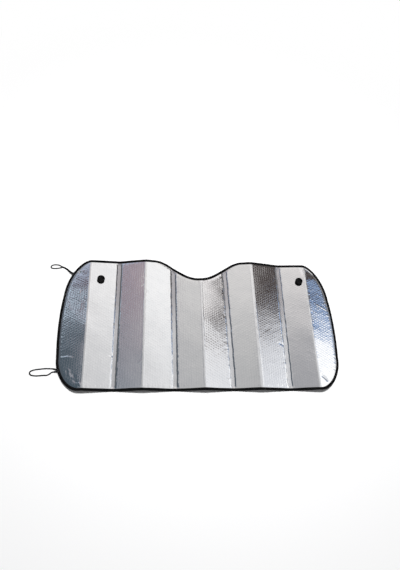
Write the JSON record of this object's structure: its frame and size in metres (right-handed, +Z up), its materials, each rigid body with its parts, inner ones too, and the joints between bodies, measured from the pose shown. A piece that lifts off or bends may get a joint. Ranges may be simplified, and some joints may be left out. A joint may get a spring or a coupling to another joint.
{
  "type": "windscreen sunshade",
  "caption": "Accordion-pleated reflective bubble foil sheet with a mirror notch, bound edge, suction cups and elastic loops.",
  "frame": {"origin": "middle of the bound sheet's footprint, on the ground that its valley creases rest on", "axes": "+X across the pleats, towards the side without elastic loops; +Y towards the edge with the mirror notch; +Z up, out of the front of the sheet"},
  "size_m": [1.3682, 0.6302, 0.0331],
  "materials": {
    "foil": "metallised film over air bubbles, half gloss",
    "binding": "black woven tape, matt",
    "cup": "black soft plastic, glossy",
    "elastic": "black braided elastic, matt"
  },
  "bodies": {
    "root": {"bubble_foil_panel": "foil", "edge_binding": "binding", "suction_cup_left": "cup", "suction_cup_right": "cup", "elastic_strap_upper": "elastic", "elastic_strap_lower": "elastic"}
  },
  "joints": []
}
